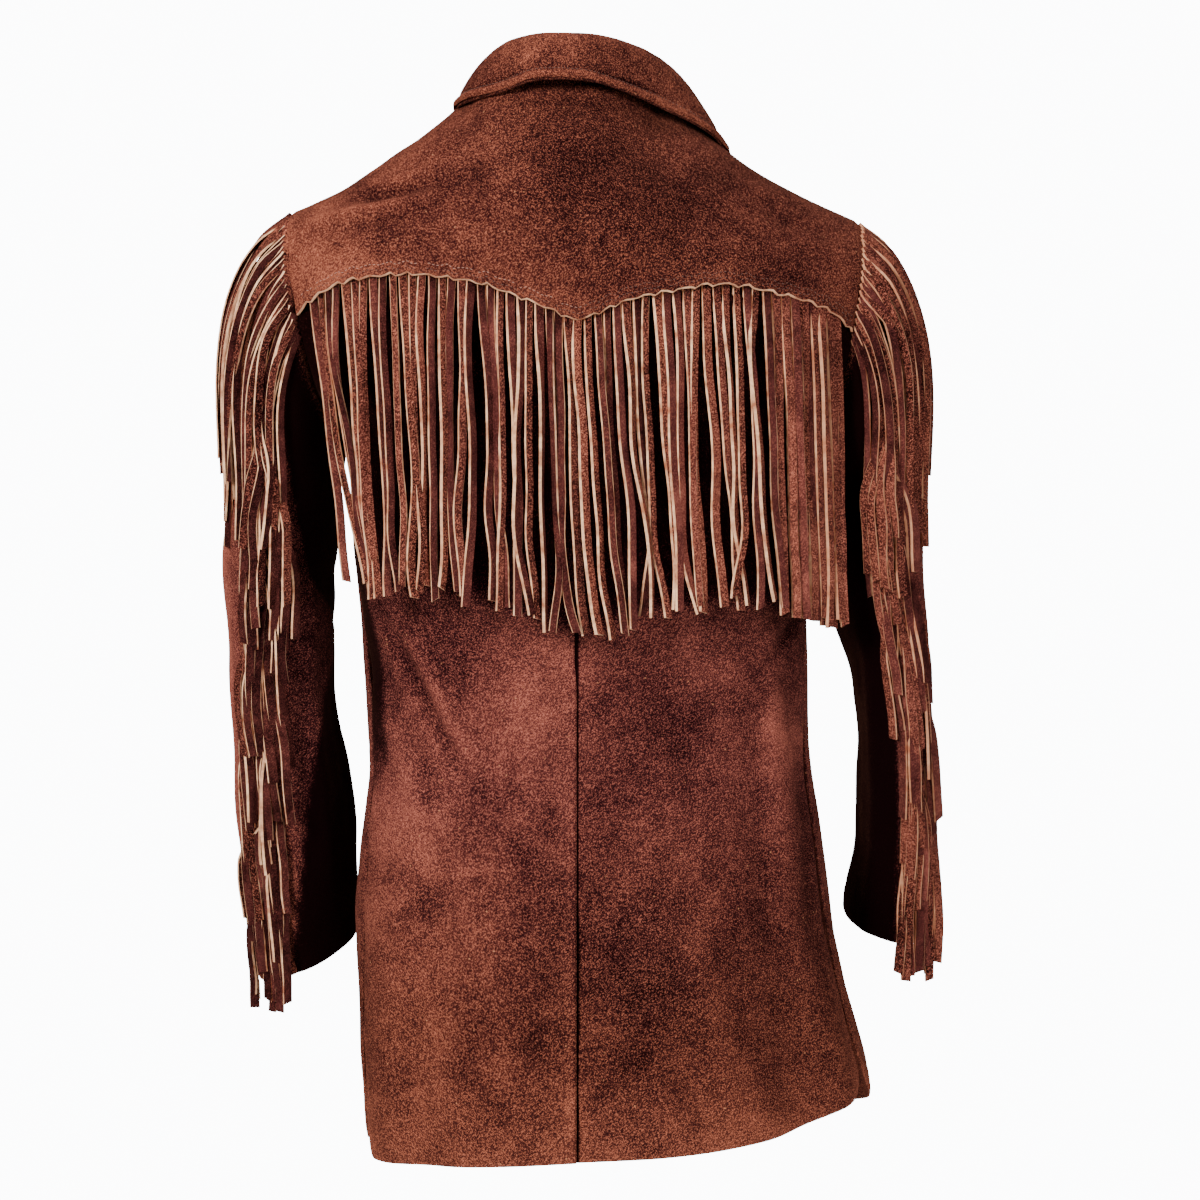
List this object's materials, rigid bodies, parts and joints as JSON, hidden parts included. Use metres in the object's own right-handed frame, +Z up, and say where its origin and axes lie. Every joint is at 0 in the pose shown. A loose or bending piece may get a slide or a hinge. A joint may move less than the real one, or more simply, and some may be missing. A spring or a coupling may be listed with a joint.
{
  "type": "suede jacket",
  "caption": "Long suede western jacket, worn and hollow, with a turned-down collar, pointed back yoke, and cut fringe on yoke, armholes and sleeves.",
  "frame": {"origin": "between the wearer's shoulders, level with the nape, where the wearer holds the jacket up", "axes": "+Z up, -Y the way the wearer faces, +X the wearer's left"},
  "size_m": [0.6004, 0.2941, 0.8934],
  "materials": {
    "suede": "napped, dry, mottled",
    "suede_fringe": "napped, with pale cut edges",
    "horn": "satin dark horn"
  },
  "bodies": {
    "root": {"back_left": "suede", "back_right": "suede", "yoke_back": "suede", "front_left": "suede", "front_right": "suede", "sleeve_top_left": "suede", "sleeve_under_left": "suede", "sleeve_top_right": "suede", "sleeve_under_right": "suede", "collar_stand": "suede", "collar_fall": "suede", "fringe_back": "suede_fringe", "fringe_armhole_left": "suede_fringe", "fringe_armhole_right": "suede_fringe", "fringe_sleeve_left": "suede_fringe", "fringe_sleeve_right": "suede_fringe", "button_1": "horn", "button_2": "horn", "button_3": "horn", "button_4": "horn", "button_5": "horn"}
  },
  "joints": []
}
